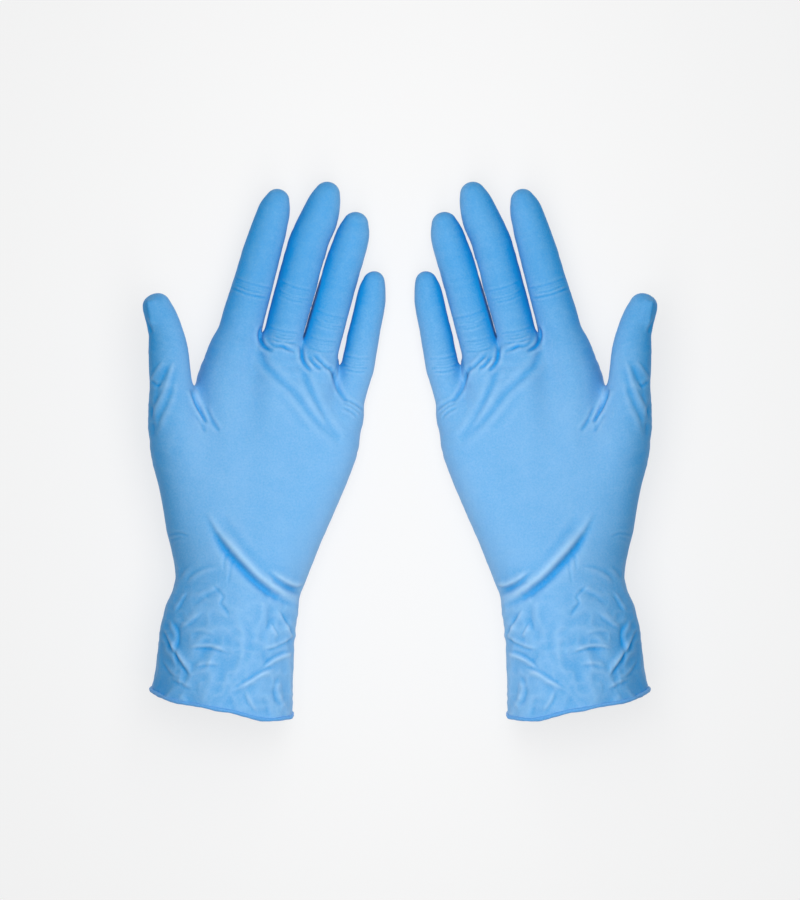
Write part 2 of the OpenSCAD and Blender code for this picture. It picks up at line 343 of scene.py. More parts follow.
# ---------------------------------------------------------------- surface of the form
def surface(d):
    """Quads over the zero level of a distance grid (surface nets)."""
    neg = d < 0
    n = np.zeros(np.array(d.shape) - 1, np.int8)
    # the cells that the surface passes through, and which of the points each one gets
    corners = [(i, j, k) for i in (0, 1) for j in (0, 1) for k in (0, 1)]
    for i, j, k in corners:
        n += neg[i:i + n.shape[0] or None, j:, k:][:n.shape[0], :n.shape[1], :n.shape[2]]
    c = np.argwhere((n > 0) & (n < 8))
    index = np.full(n.shape, -1, np.int32)
    index[c[:, 0], c[:, 1], c[:, 2]] = np.arange(len(c))
    # a cell's point is the mean of where the surface crosses the cell's edges
    acc, cnt = np.zeros((len(c), 3)), np.zeros(len(c))
    for a in corners:
        for ax in range(3):
            if a[ax] == 0:
                b = tuple(a[m] + (m == ax) for m in range(3))
                va = d[c[:, 0] + a[0], c[:, 1] + a[1], c[:, 2] + a[2]]
                vb = d[c[:, 0] + b[0], c[:, 1] + b[1], c[:, 2] + b[2]]
                m = (va < 0) != (vb < 0)
                t = np.where(m, va / np.where(m, va - vb, 1), 0)
                q = np.array(a, float)[None] + t[:, None] * (np.array(b) - np.array(a))
                acc += np.where(m[:, None], q, 0)
                cnt += m
    verts = GRID_LO + CELL * (c + acc / cnt[:, None])
    # a quad for each grid edge that the surface crosses, through the points of the four cells round it
    quads = []
    for ax in range(3):
        o1, o2 = [m for m in range(3) if m != ax]
        lo = [slice(None)] * 3
        hi = [slice(None)] * 3
        lo[ax], hi[ax] = slice(0, -1), slice(1, None)
        e = np.argwhere(neg[tuple(lo)] != neg[tuple(hi)])
        e = e[(e[:, o1] > 0) & (e[:, o2] > 0) & (e[:, o1] < n.shape[o1]) & (e[:, o2] < n.shape[o2])]
        inside = neg[e[:, 0], e[:, 1], e[:, 2]]
        ids = []
        for s1, s2 in ((-1, -1), (0, -1), (0, 0), (-1, 0)):
            g = e.copy()
            g[:, o1] += s1
            g[:, o2] += s2
            ids.append(index[g[:, 0], g[:, 1], g[:, 2]])
        quad = np.stack(ids, 1)
        flip = inside if ax == 1 else ~inside
        quad[flip] = quad[flip][:, ::-1]
        quads.append(quad)
    return verts, np.concatenate(quads)


grad = np.stack(np.gradient(field, CELL), -1).astype(np.float32)
verts, quads = surface(field)
# twice, most of the way from where a point is to where the distance is zero
for repeat in range(2):
    g = sample(grad, verts)
    verts = verts - (sample(field, verts) / np.maximum((g * g).sum(1), 0.2))[:, None] * g * 0.8

# ---------------------------------------------------------------- folds and creases of the film
# Every point of the film, the way out of the glove there, and how high its folds raise it, mm.
P = verts
N = sample(grad, P)
N /= np.linalg.norm(N, axis=1, keepdims=True) + 1e-6
up = step(-0.15, 0.45, N[:, 2])
down = step(-0.15, 0.45, -N[:, 2])
height = np.zeros(len(P))


def along_curve(p, pts, n=8):
    """Signed distance across a curve in plan, and how far along it the nearest point is, 0 to 1."""
    c = spline([(x, y, 0) for x, y in pts], n)[:, :2]
    best = np.full(len(p), 1e9)
    side = np.zeros(len(p))
    pos = np.zeros(len(p))
    for i, (a, b) in enumerate(zip(c[:-1], c[1:])):
        ba = b - a
        l2 = ba @ ba
        pa = p[:, :2] - a
        t = np.clip(pa @ ba / l2, 0, 1)
        e = pa - t[:, None] * ba
        d = np.hypot(e[:, 0], e[:, 1])
        m = d < best
        best = np.where(m, d, best)
        side = np.where(m, np.sign(ba[0] * pa[:, 1] - ba[1] * pa[:, 0]) * d, side)
        pos = np.where(m, (i + t) / (len(c) - 1), pos)
    return side, pos


def reach(pts, pad):
    """The points of the film near enough to a curve for it to matter."""
    q = np.array(pts)
    lo, hi = q.min(0) - pad, q.max(0) + pad
    return np.nonzero((P[:, 0] > lo[0]) & (P[:, 0] < hi[0]) & (P[:, 1] > lo[1]) & (P[:, 1] < hi[1]))[0]


def bell(x, width):
    """A smooth bump, 1 high at 0."""
    return np.exp(-(x / width) ** 2)


def crease(pts, depth, width, lip=0.45, mask=None):
    """A valley with a soft lip on each side, dying away towards its ends."""
    i = reach(pts, 6 * width)
    d, t = along_curve(P[i], pts)
    # the lips stand a little over two widths to each side
    fade = np.sqrt(np.clip(4 * t * (1 - t) * 1.6, 0, 1))
    v = -bell(d, width) + lip * bell(np.abs(d) - 2.1 * width, 1.1 * width)
    height[i] += depth * fade * v * (up if mask is None else mask)[i]


def fold(pts, rise, width, steep=0.35, mask=None):
    """A rounded fold that stands up along the curve, steep on its left and easy on its right."""
    i = reach(pts, 5 * width)
    d, t = along_curve(P[i], pts)
    fade = np.clip(4 * t * (1 - t) * 1.3, 0, 1) ** 1.2
    # narrower towards its ends, with a valley along the foot of its steep side
    width = width * (0.5 + 0.5 * fade)
    v = np.where(d > 0, bell(d, width * steep), bell(d, width))
    v = v - 0.55 * bell(d - width * steep * 2.1, width * 0.55)
    height[i] += rise * fade * v * (up if mask is None else mask)[i]


def flexure(a, b, gaps, depth=0.3, width=0.5, sag=-0.7):
    """Fine lines side by side across a finger from a to b, each moved on by one of the gaps."""
    a, b = np.array(a, float), np.array(b, float)
    n = np.array([a[1] - b[1], b[0] - a[0]]) / np.hypot(*(b - a))
    for k, g in enumerate(gaps):
        short = 0.06 * (k % 3) * (b - a)
        crease([a + g * n + short, (a + b) / 2 + (g + sag) * n, b + g * n - short], depth, width, 0.6)


# middle joints of the fingers, on the palm side
flexure((-75, 77), (-58.6, 72.2), (0.6, -0.7, -2.2, -4.0), 0.6, 0.45)
flexure((-54.2, 75.6), (-40, 71), (0.4, -1.0, -2.3, -3.8, -5.2), 0.5, 0.45)
flexure((-38, 61.6), (-25, 58), (1.2, -0.1, -1.5, -2.9, -4.2), 0.5, 0.45)
flexure((-25.4, 41.4), (-13.8, 39.8), (1.2, -0.2, -1.6, -3.0, -4.6), 0.5, 0.45)
# roots of the fingers: fine lines, then the deep folds where the film bunches
flexure((-59, 54.6), (-45.8, 52), (0.6, -0.9, -2.4, -4.0), 0.45, 0.45)
flexure((-41, 50), (-28.6, 47.8), (0.8, -0.7, -2.2, -3.6), 0.4, 0.45)
crease([(-61.8, 56), (-63, 52.6), (-62.6, 49), (-60.8, 46.4), (-57.2, 44.4)], 1.2, 0.85, 0.2)
crease([(-60, 50.2), (-57, 47.2), (-53, 46.6), (-49.2, 44.8)], 0.55, 0.7)
crease([(-54, 47.6), (-51, 46), (-47, 44.2)], 0.45, 0.6)
crease([(-44.6, 47), (-43.8, 41), (-42.2, 38), (-39.8, 35.4)], 1.0, 0.8)
crease([(-41, 42.4), (-38.4, 38.6), (-35, 36.4)], 0.8, 0.75)
crease([(-39.4, 43.2), (-36.4, 40.6), (-33, 37.4), (-30.8, 36)], 0.7, 0.75)
crease([(-31.4, 38.2), (-29.6, 33), (-27.6, 27), (-23.6, 21.4)], 0.6, 0.8)
flexure((-25.2, 22.4), (-16.4, 16.6), (0.8, -1.0, -2.8), 0.5, 0.6, 0.5)
# long soft valleys that run down the palm from the webs
crease([(-63, 44.6), (-60.8, 38.4), (-55.2, 33), (-48, 26.4), (-41, 17.4), (-33.6, 9.4), (-27, 3.6)],
       0.6, 1.6, 0.3)
crease([(-44.6, 39.4), (-42, 31.6), (-39, 25), (-35.4, 18), (-31, 10.6), (-26.4, 5.4)], 0.55, 1.4, 0.3)
crease([(-54, 27), (-46, 15), (-40, 9)], 0.2, 1.8, 0.3)
# crotch of the thumb
crease([(-93.6, 27.4), (-91.4, 21), (-88.6, 15.6), (-86.8, 12.2)], 1.1, 0.8)
crease([(-91.6, 16), (-88.6, 11.2), (-87.2, 8)], 0.45, 0.7)
crease([(-87.4, 19.4), (-84.6, 13.4), (-81, 8.4)], 0.6, 0.75)
# slanting folds round the base of the thumb
fold([(-108.8, 24), (-106.4, 29), (-103.4, 35), (-100.6, 40.4)], 0.55, 1.6, 0.5)
fold([(-112, 11), (-108.6, 20), (-104.6, 28.6), (-101.6, 38)], 0.6, 1.8, 0.5)
fold([(-112.4, 29.6), (-110.4, 33), (-108.2, 36.6), (-105.6, 40)], 0.45, 1.3, 0.5)
fold([(-108.6, 6), (-105.6, 14), (-101.4, 24), (-99.4, 34)], 0.4, 1.8, 0.6)
crease([(-111.6, 31.4), (-108.8, 28.8), (-106.8, 30)], 0.4, 0.6)
crease([(-113, 24), (-111.2, 16), (-110.6, 6)], 0.35, 0.9)
crease([(-114.2, 58.6), (-112.4, 55.4), (-111.2, 52.4)], 0.5, 0.7)
# wrist: the long fold from the ball of the thumb, and the short ones beside it
fold([(-44.6, -70), (-51.2, -65.6), (-57.4, -61), (-63.9, -55.6), (-69.2, -50), (-75.6, -43),
      (-80.8, -36.6), (-86.8, -27)], 1.5, 3.0, 0.5)
crease([(-82.4, -37), (-77, -46.4), (-70, -54), (-62, -60.4), (-54, -66)], 0.8, 2.6, 0.0)
fold([(-43.2, -60.2), (-47.6, -60.4), (-53, -57.6), (-58.6, -53.6)], 1.1, 2.0, 0.4)
crease([(-57.4, -58.6), (-51, -62), (-45, -64.6)], 0.5, 1.0)
fold([(-62.6, -47), (-67.6, -41), (-73.8, -33), (-78, -27)], 0.15, 2.4, 0.6)
crease([(-76.4, -43.6), (-78.4, -49), (-78.6, -53.6)], 0.28, 0.6)
crease([(-74.4, -47.6), (-75.8, -53.6), (-76.6, -59.6)], 0.25, 0.55)
crease([(-104, -38.2), (-99, -37.6), (-94.6, -38.8)], 0.35, 0.6)
crease([(-103, -41), (-99, -39.4), (-95, -40.2)], 0.2, 0.6)
crease([(-103, -48), (-101.4, -54), (-101.8, -60)], 0.5, 0.9)
fold([(-95.6, -60), (-92, -56.6), (-87, -54), (-81, -52.6)], 0.4, 1.6, 0.5)
fold([(-101, -65), (-98, -58), (-93, -51.4)], 0.35, 1.8, 0.5)
fold([(-80, -60.8), (-84, -62), (-89, -64.6), (-93, -69)], 0.35, 1.8, 0.5)
# cuff: sharp slack folds in the loose film
crease([(-84, -60), (-81, -63), (-78.8, -65.6), (-80, -68.4), (-77.6, -71.4), (-76, -75)], 0.5, 0.49, 0.3)
fold([(-95.6, -63.6), (-98.6, -68), (-101.2, -73)], 0.5, 1.07, 0.45)
fold([(-88, -72), (-94, -76.6), (-99, -80)], 0.45, 1.15, 0.45)
fold([(-103, -76), (-100.4, -82.6), (-101.2, -90), (-99.8, -97)], 0.7, 1.48, 0.4)
fold([(-92.6, -101.4), (-96.6, -95), (-101, -88.6), (-105.6, -80)], 1.1, 1.64, 0.4)
fold([(-97, -101.6), (-101.2, -100), (-106.6, -94)], 0.5, 1.23, 0.5)
fold([(-76, -90.6), (-82.6, -88), (-88, -87.4), (-95, -88.6)], 0.85, 1.23, 0.4)
fold([(-80, -95.6), (-86.6, -95), (-92, -96.6)], 0.5, 1.23, 0.5)
fold([(-92.4, -106.6), (-97.6, -103.6), (-103, -101.4)], 0.55, 1.23, 0.5)
fold([(-82, -82.6), (-88, -80.4), (-93, -81)], 0.3, 1.31, 0.5)
fold([(-55, -71), (-51, -78.6), (-48, -86)], 0.75, 1.31, 0.4)
fold([(-46.4, -82), (-51.4, -85.6), (-57, -88), (-61.6, -88.6)], 0.7, 1.15, 0.4)
fold([(-57.6, -76.4), (-56.4, -80.6), (-54, -84)], 0.5, 0.98, 0.4)
fold([(-62.4, -98.4), (-57.4, -94.6), (-52.6, -92), (-47.6, -90.6)], 0.95, 1.31, 0.4)
fold([(-74.8, -107.4), (-68, -103.6), (-61.6, -99.6), (-55, -97.4)], 0.9, 1.39, 0.4)
fold([(-63.6, -116.4), (-67.4, -111.6), (-68.8, -107)], 0.6, 1.23, 0.5)
fold([(-52, -115), (-54.6, -108), (-53.4, -101.6)], 0.6, 1.64, 0.5)
fold([(-72.6, -74), (-70, -84), (-70.4, -94)], 0.45, 2.79, 0.6)
fold([(-61, -66.6), (-60.4, -74), (-62, -82)], 0.4, 2.13, 0.6)
fold([(-48.6, -97), (-49.8, -105), (-50.6, -113)], 0.5, 1.64, 0.5)
# pleats round the hem
for x, rise in ((-108.6, 0.3), (-103, 0.15), (-96, 0.25), (-86.4, 0.12), (-73.2, 0.22), (-58, 0.3)):
    fold([(x + 1.2, -119), (x, -113), (x - 2.4, -108.6)], rise, 1.6, 0.6)
# backs of the joints: lines across each finger, bowed forwards and backwards in turn
for f, half in (("index", 9), ("middle", 9), ("ring", 8.2), ("little", 7.3)):
    n, t = across(HEAD[f]), heading(HEAD[f])
    for joint, gaps, deep in ((MIDJ[f], (-4.2, -2.2, -0.4, 1.6, 3.6), 0.4),
                              (TIPJ[f], (-1.6, 0.4, 2.2), 0.3),
                              (ROOT[f], (-6, -1, 4), 0.3)):
        for i, gap in enumerate(gaps):
            c = joint + gap * t
            bow = 0.8 * (1 if i % 2 else -1)
            crease([(c - n * half)[:2], (c + bow * t)[:2], (c + n * half)[:2]], deep, 0.6, 0.6, down)
# back of the thumb
for y, bow in ((31, -2), (35, -3), (43, -2), (46, -3), (49, -1)):
    crease([(-113, y - 1), (-104, y + bow), (-96, y)], 0.35, 0.7, 0.5, down)
# long folds of the back, on the cuff and the palm
for pts, rise in (([(-98, -42), (-84, -52), (-66, -57), (-46, -64)], 1.1),
                  ([(-103, -60), (-88, -66), (-70, -66), (-50, -74)], 1.2),
                  ([(-106, -82), (-94, -78), (-80, -86), (-66, -84), (-50, -92)], 1.3),
                  ([(-104, -100), (-90, -94), (-78, -102), (-60, -98)], 1.1),
                  ([(-40, 14), (-46, -6), (-52, -24), (-60, -40)], 0.4),
                  ([(-84, 26), (-80, 4), (-80, -20)], 0.4)):
    fold(pts, rise, 2.4, 0.45, down)


def ridges(p, size, seed):
    """Sharp ridges from the noise, -1 in the valleys to 1 on the crests."""
    return 1 - np.abs(lattice_noise(p, size, seed)) * 2


# crumple: ridged noise, strongest on the loose cuff
warp = np.stack([lattice_noise(P, 17, k) for k in (1, 2, 3)], 1)
warped = P + 5.0 * warp
loose = step(-50, -78, P[:, 1])
skew = warped @ np.array([[0.9, 0.35, 0.0], [-0.45, 0.8, 0.0], [0.0, 0.0, 1.0]])
ridge_a = ridges(skew * [1, 0.55, 1], 11, 4)
ridge_b = ridges(skew * [0.6, 1, 1], 8, 5)
ridge_c = ridges(warped, 4.6, 6)
height += loose * (0.42 * ridge_a + 0.36 * ridge_b + 0.24 * ridge_c)
height += loose * 0.8 * lattice_noise(P * [1, 0.5, 1], 19, 7)
height += (1 - loose) * (0.05 * ridge_b + 0.03 * ridge_c) + 0.06 * lattice_noise(P, 9, 8)
# slack on the sides of the fingers and thumb, in short slanting wrinkles
on_fingers = step(30, 46, P[:, 1])
slant = P @ np.array([[0.95, 0.3, 0], [-0.3, 0.95, 0], [0, 0, 1.0]])
height += on_fingers * 0.06 * ridges(slant * [0.45, 1.3, 0.6], 4.2, 9)
thumb_side = step(-96, -104, P[:, 0]) * step(-20, 5, P[:, 1]) * (1 - step(40, 52, P[:, 1]))
height += thumb_side * 0.22 * ridges(slant * [0.7, 0.9, 0.7], 5.5, 10)

# Every directed edge of the net of quads, for averages over a point's neighbours.
EDGE_A, EDGE_B = quads.ravel(), np.roll(quads, -1, 1).ravel()
EDGE_N = np.bincount(EDGE_A, minlength=len(P))


def spread(v, times):
    """Each point's value averaged with those of its neighbours, several times over."""
    for repeat in range(times):
        v = 0.4 * v + 0.6 * np.bincount(EDGE_A, weights=v[EDGE_B], minlength=len(P)) / EDGE_N
    return v


# The folds' height, the level around them, and from both how far a point stands out of its surroundings,
# which paints shade into the creases and highlight onto the crests.
relief = spread(height, 1)
level = spread(relief, 16)
painted_shading = 1.4 * (relief - level) + 0.7 * (level - spread(level, 60))
# painted shade on the flanks that face the next finger, where the fingers shade each other, most on the one
# nearer the thumb
for pair in WEBS:
    side, along = web_side(pair, *P.T)
    stretch = step(-8, 6, along) * (1 - step(36, 54, along)) * step(-0.9, 0.2, N[:, 2] + 0.3)
    painted_shading -= stretch * np.where(side > 0, 0.7 * np.exp(-side / 3.4), 0.2 * np.exp(side / 1.4))
# and painted shade on the flanks that face away from the other glove and the lamp between the gloves
painted_shading -= (0.4 + 0.3 * on_fingers) * step(0.3, 0.95, -N[:, 0])
painted_shading = np.clip(painted_shading, -1, 1)
# painted light: paler over the wide palm and the cuff, less so towards the thumb's side, and on the flanks
# that face the lamp between the gloves
painted_light = step(80, 20, P[:, 1]) * (0.4 + 0.6 * step(-112, -88, P[:, 0])) + 0.5 * step(0.0, 0.8, N[:, 0])
verts = P + N * relief[:, None]
# What lies under SOFT_LEVEL is pressed up gently, so that nothing comes nearer the floor than FLOOR_GAP.
FLOOR_GAP = 0.12
SOFT_LEVEL = 1.0
room = SOFT_LEVEL - FLOOR_GAP
sunk = np.minimum(verts[:, 2] - SOFT_LEVEL, 0)
verts[:, 2] = np.where(verts[:, 2] < SOFT_LEVEL, FLOOR_GAP + room * np.exp(sunk / room), verts[:, 2])

mesh = bpy.data.meshes.new("whole")
mesh.from_pydata(verts.tolist(), [], quads.tolist())
# the painted shade and painted light are stored with each corner
for key, val in (("painted_shading", painted_shading), ("painted_light", painted_light)):
    mesh.attributes.new(key, "FLOAT", "POINT").data.foreach_set("value", val.astype(np.float32))
bm = bmesh.new()
bm.from_mesh(mesh)
bpy.data.meshes.remove(mesh)


def near(test):
    """Faces whose middle passes the test, with their edges and corners, in an order that never varies."""
    fs = list(bm.faces)
    mid = np.array([f.calc_center_median()[:] for f in fs])
    keep = np.nonzero(test(mid))[0]
    geom = {}
    for i in keep:
        f = fs[i]
        geom.update(dict.fromkeys((f, *f.edges, *f.verts)))
    return list(geom)


SLAB = 1.6  # faces within this distance of a plane can be cut by it
WELD = 0.02  # corners nearer to a plane, or to each other, than this are taken as one


def cut(point, normal, test):
    """Divide the faces that pass the test where the plane crosses them."""
    point, normal = np.asarray(point, float), unit(normal)
    geom = near(lambda m: (np.abs((m - point) @ normal) < SLAB) & test(m))
    bmesh.ops.bisect_plane(bm, geom=geom, dist=WELD, plane_co=point.tolist(), plane_no=normal.tolist())


# the film ends at the hem
geom = near(lambda m: m[:, 1] < -95)
bmesh.ops.bisect_plane(bm, geom=geom, dist=0.01, plane_co=HEM.tolist(), plane_no=HEM_N.tolist(),
                       clear_inner=True)

# ---------------------------------------------------------------- how the film divides where it bends
# How far each bend of a finger reaches to either side of its hinge: root, middle joint, tip joint.
ZONE = {"index": (10, 10, 7.5), "middle": (10, 10, 7.5), "ring": (8, 9, 7.5), "little": (7.5, 7.5, 7)}
# Where a finger's film divides: distances along the finger from its root hinge, midway between two bends.
SEAM = {}
for f in FINGERS:
    l0 = (MIDJ[f] - ROOT[f]) @ heading(HEAD[f])
    l1 = (TIPJ[f] - ROOT[f]) @ heading(HEAD[f])
    za, zb, zc = ZONE[f]
    SEAM[f] = (-za, (za + l0 - zb) / 2, (l0 + zb + l1 - zc) / 2)


def along_finger(f, m):
    """How far along a finger points are, from its root hinge."""
    return (m - ROOT[f]) @ heading(HEAD[f])


CLEAR_Y = 68  # no cleft ends below this y


def column(m):
    """Which finger's column a point is in, from 0 for the index to 3 for the little finger."""
    col = np.zeros(len(m), int)
    high = np.nonzero(m[:, 1] > CLEAR_Y)[0]
    skin = {}
    for f in FINGERS:
        stations = np.array(TUBES[f])
        off, pos = along_curve(m[high], stations[:, :2], 2)
        radius = np.interp(pos * (len(stations) - 1), np.arange(len(stations)), stations[:, 3])
        skin[f] = np.abs(off) - radius
    for f, g in WEBS:
        side, along = web_side((f, g), *m.T)
        beyond = side > 0
        # past the end of the cleft, the finger whose skin is nearer
        far = along[high] > CLEFT_END[f, g]
        beyond[high[far]] = (skin[g] < skin[f])[far]
        col += beyond
    return col


CROTCH = np.array([-93.4, 27.6, 0])
SWING_WIDTH = 13  # of the film that passes from the palm to the ball of the thumb
# across the swing line, towards the thumb
swing_n = unit([-SWING_AXIS[1], SWING_AXIS[0], 0])
if swing_n[0] > 0:
    swing_n = -swing_n


def on_swing(y):
    """The point of the thumb's swing line at a y."""
    return SWING + SWING_AXIS * ((y - SWING[1]) / SWING_AXIS[1])


# The palm's film passes to the ball of the thumb along three ways, each from its first point to its second:
# sideways across the swing line, from the heel of the hand, and from the web beside the index finger.
swing_end = (CROTCH - on_swing(CROTCH[1])) @ swing_n
FROM_SIDE = (on_swing(0) + swing_n * (swing_end - SWING_WIDTH), on_swing(0) + swing_n * swing_end)
FROM_HEEL = (np.array([-92.0, -41, 0]), np.array([-92.0, -18, 0]))
FROM_WEB = (np.array([-88.6, 44, 0]), CROTCH.copy())


def share(pair, m):
    """How far points are from a pair's first point, 0, to its second, 1."""
    a, b = (np.array([p[0], p[1], 0.0]) for p in pair)
    return (m * [1, 1, 0] - a) @ (b - a) / ((b - a) @ (b - a))


def equal_plane(p, q):
    """Point and normal of the plane where two shares are the same."""
    (a, b), (c, d) = ((np.array([e[0], e[1], 0.0]) for e in pair) for pair in (p, q))
    g1, g2 = (b - a) / ((b - a) @ (b - a)), (d - c) / ((d - c) @ (d - c))
    n = g1 - g2
    off = g1 @ a - g2 @ c
    return n * off / (n @ n), n


# Start and end of the thumb's two bends and of the wrist's bend.
B_DIR = unit(THUMB_J2 - THUMB_J1)
C_DIR = unit(np.array(THUMB[-1][:3]) - THUMB_J1)
B_START, B_END = THUMB_J1 - 3.6 * B_DIR, THUMB_J1 + 8.4 * B_DIR
C_START, C_END = THUMB_J2 - 5.0 * C_DIR, THUMB_J2 + 8.6 * C_DIR
THUMB_SEAM = (B_END + C_START) / 2
W_DIR = -heading(8.0)
WRIST_REACH = 15.5
W_START, W_END = WRIST - WRIST_REACH * W_DIR, WRIST + WRIST_REACH * W_DIR
CROTCH_N = (-0.995, -0.07, 0)  # from the crotch towards the thumb
THUMB_X = -91.5  # what lies to the left of this belongs to no finger


def thumb_free(m):
    """Beyond the crotch, on the thumb's side of it."""
    return ((m - CROTCH) @ unit(CROTCH_N) > 0) & ((m - B_START) @ B_DIR > 0)


def on_hand(m):
    """On the fingers' side of the wrist's bend."""
    return (m - W_START) @ W_DIR < 0


def by_thumb(m):
    """The stretch of film that holds the ball of the thumb."""
    return (m[:, 0] < -76) & (m[:, 1] > -48) & (m[:, 1] < 46)


# across the fingers
for i, f in enumerate(FINGERS):
    for s0 in SEAM[f]:
        cut(ROOT[f] + s0 * heading(HEAD[f]), heading(HEAD[f]),
            lambda m: (column(m) == i) & (m[:, 0] > THUMB_X) & (m[:, 1] > 0))


def past_seams(f, g, m):
    """How far points are past the first seams of two fingers, the lesser of the two."""
    return np.minimum(along_finger(f, m) - SEAM[f][0], along_finger(g, m) - SEAM[g][0])


# along the clefts' planes, from the palm to just past the webs
for f, g in WEBS:
    c, n, t = web_plane((f, g))
    cut(c, n, lambda m: (past_seams(f, g, m) > -14) & ((m - c) @ t < 2))
# round the ball of the thumb, across the thumb and across the wrist
cut(*equal_plane(FROM_SIDE, FROM_HEEL), by_thumb)
cut(*equal_plane(FROM_SIDE, FROM_WEB), by_thumb)
cut(B_START, B_DIR, lambda m: m[:, 0] < -90)
cut(CROTCH, CROTCH_N, lambda m: (m[:, 1] > 24) & (m[:, 1] < 34) & (m[:, 0] < -88))
cut(THUMB_SEAM, B_DIR, lambda m: m[:, 0] < -92)
cut(W_START, W_DIR, lambda m: m[:, 1] < 0)
bmesh.ops.remove_doubles(bm, verts=bm.verts, dist=WELD)
unused = [v for v in bm.verts if not v.link_faces]
bmesh.ops.delete(bm, geom=unused, context="VERTS")

# The film's corners, their normals, its faces, and the painted shade and painted light in its colour.
bm.verts.ensure_lookup_table()
bm.normal_update()
CORNERS = np.array([v.co[:] for v in bm.verts])
NORMALS = np.array([v.normal[:] for v in bm.verts])
FACES = [[v.index for v in f.verts] for f in bm.faces]
PAINTED_SHADE_LIGHT = {key: np.array([v[bm.verts.layers.float[key]] for v in bm.verts]) for key in ("painted_shading", "painted_light")}
bm.free()
# Each face's label says which piece it goes to.
MIDDLES = np.array([CORNERS[f].mean(0) for f in FACES])
label = np.full(len(MIDDLES), "palm", dtype=object)
by_side, by_heel, by_web = share(FROM_SIDE, MIDDLES), share(FROM_HEEL, MIDDLES), share(FROM_WEB, MIDDLES)
swinging = (np.minimum(np.minimum(by_side, by_heel), by_web) > 0) & on_hand(MIDDLES)
label[swinging & (by_side <= by_heel) & (by_side <= by_web)] = "thumb_root_side"
label[swinging & (by_heel < by_side) & (by_heel <= by_web)] = "thumb_root_heel"
label[swinging & (by_web < by_side) & (by_web < by_heel)] = "thumb_root_web"
free = thumb_free(MIDDLES)
label[free] = "thumb_mid"
label[free & ((MIDDLES - THUMB_SEAM) @ B_DIR > 0)] = "thumb_tip"
col = column(MIDDLES)
for i, f in enumerate(FINGERS):
    s = along_finger(f, MIDDLES)
    own = (col == i) & ~free & (MIDDLES[:, 0] > THUMB_X) & (MIDDLES[:, 1] > 5)
    for k, part in enumerate(("base", "mid", "tip")):
        label[own & (s > SEAM[f][k])] = f"{f}_{part}"
label[~on_hand(MIDDLES)] = "cuff"

# the hem sags a little where the cuff hangs slack; corners this near its plane are on the hem
AT_HEM = np.abs((CORNERS - HEM) @ HEM_N) < 0.2
sag = -0.8 * bell(CORNERS[:, 0] + 60.5, 6.5) + 0.9 * bell(CORNERS[:, 0] + 75, 7)
sag += 1.1 * bell(CORNERS[:, 0] + 88, 9)
CORNERS[:, 1] += sag * step(-104, -118, CORNERS[:, 1]) * step(18, 30, CORNERS[:, 2])

THICK = 0.28  # of the film
INSET = 0.4 * THICK
ON_WALL = 0.03  # a corner nearer to a wall's plane than this lies in it
LEAST_LOOP = 12  # corners round a wall; a shorter loop is a scrap


def build(faces, walls=()):
    """A closed skin: the outer faces, an inner copy THICK inside, and rims along every open edge."""
    used = sorted({v for f in faces for v in f})
    new = {v: i for i, v in enumerate(used)}
    outer = CORNERS[used]
    inner = outer - THICK * NORMALS[used]
    n = len(used)
    out = [[new[v] for v in f] for f in faces]
    edges = {}
    for f in out:
        for a, b in zip(f, f[1:] + f[:1]):
            edges[(a, b)] = edges.get((a, b), 0) + 1
    rim = [(a, b) for (a, b) in edges if (b, a) not in edges]
    polys = out + [[v + n for v in reversed(f)] for f in out] + [[b, a, a + n, b + n] for a, b in rim]
    pos = [outer, inner]
    nrm = [NORMALS[used], -NORMALS[used]]
    painted_shade_light = {key: [val[used], val[used]] for key, val in PAINTED_SHADE_LIGHT.items()}
    count = 2 * n
    # a wall of film in each cleft's plane, out of sight until a finger bends alone
    for point, normal in walls:
        point = np.asarray(point, float)
        flat = np.abs((outer - point) @ normal) < ON_WALL
        chain = {}
        for a, b in rim:
            if flat[a] and flat[b]:
                chain[a] = b
        while chain:
            starts = [a for a in chain if a not in set(chain.values())]
            a = starts[0] if starts else next(iter(chain))
            loop = [a]
            while a in chain:
                a = chain.pop(a)
                if a == loop[0]:
                    break
                loop.append(a)
            if len(loop) < LEAST_LOOP:
                continue
            ring = outer[loop]
            side = -1.0 if np.sum((outer - point) @ normal) > 0 else 1.0
            face_n = normal * side
            tris = tessellate_polygon([[Vector(p) for p in ring]])
            m = len(loop)
            # the wall's own inner face stays under the film, so that it can't show through a crease
            pos += [ring, inner[loop] - INSET * NORMALS[used][loop] - INSET * face_n]
            nrm += [np.tile(face_n, (m, 1)), np.tile(-face_n, (m, 1))]
            # the walls get neither painted shade nor painted light
            for val in painted_shade_light.values():
                val.append(np.zeros(2 * m))
            for t in tris:
                a3, b3, c3 = (ring[q] for q in t)
                if np.cross(b3 - a3, c3 - a3) @ face_n < 0:
                    t = t[::-1]
                polys.append([count + q for q in t])
                polys.append([count + m + q for q in reversed(t)])
            count += 2 * m
    return np.vstack(pos), polys, np.vstack(nrm), {key: np.concatenate(val) for key, val in painted_shade_light.items()}


def add_piece(name, pos, polys, nrm, attrs, mirror, material):
    """A piece in the scene, in metres, as it is or as its mirror image."""
    pos, nrm = pos.copy() * MM, nrm.copy()
    if mirror:
        pos[:, 0] *= -1
        nrm[:, 0] *= -1
        polys = [p[::-1] for p in polys]
    me = bpy.data.meshes.new(name)
    me.from_pydata(pos.tolist(), [], polys)
    me.shade_smooth()
    for key, val in attrs.items():
        at = me.attributes.new(key, "FLOAT", "POINT")
        at.data.foreach_set("value", np.asarray(val, np.float32))
    me.normals_split_custom_set_from_vertices(nrm.tolist())
    me.materials.append(material)
    me.update()
    ob = bpy.data.objects.new(name, me)
    scene.collection.objects.link(ob)
    return ob


